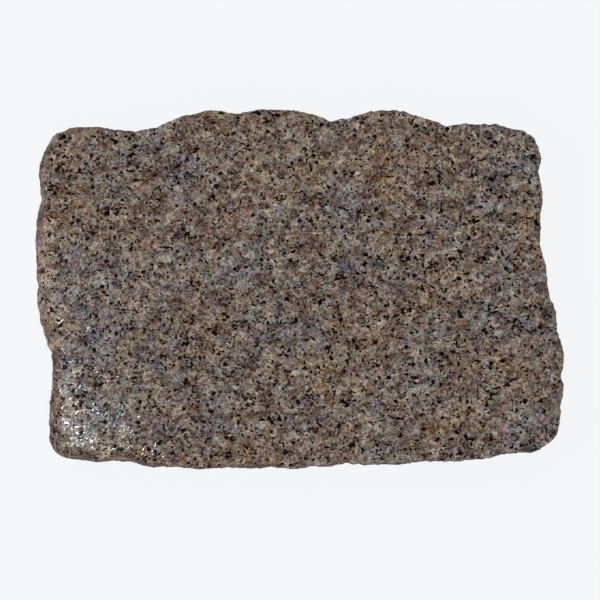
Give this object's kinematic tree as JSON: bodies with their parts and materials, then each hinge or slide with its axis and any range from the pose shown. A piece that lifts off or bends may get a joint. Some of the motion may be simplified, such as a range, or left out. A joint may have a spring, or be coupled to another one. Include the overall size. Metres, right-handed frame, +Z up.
{
  "type": "leatherworking granite slab",
  "caption": "Oblong granite slab with a flat polished working face, a flat sawn underside and rock-pitched scalloped sides.",
  "frame": {"origin": "on the surface that the slab rests on, under the middle of its box", "axes": "+X along the slab's length, +Y across it towards the side with the deepest scallops, +Z up out of the polished working face"},
  "size_m": [0.305, 0.208, 0.032],
  "materials": {
    "granite": "medium-grained grey, beige and brown granite with black mica flecks: polished upper face, broken sides, sawn underside"
  },
  "bodies": {
    "root": {"granite_slab": "granite"}
  },
  "joints": []
}
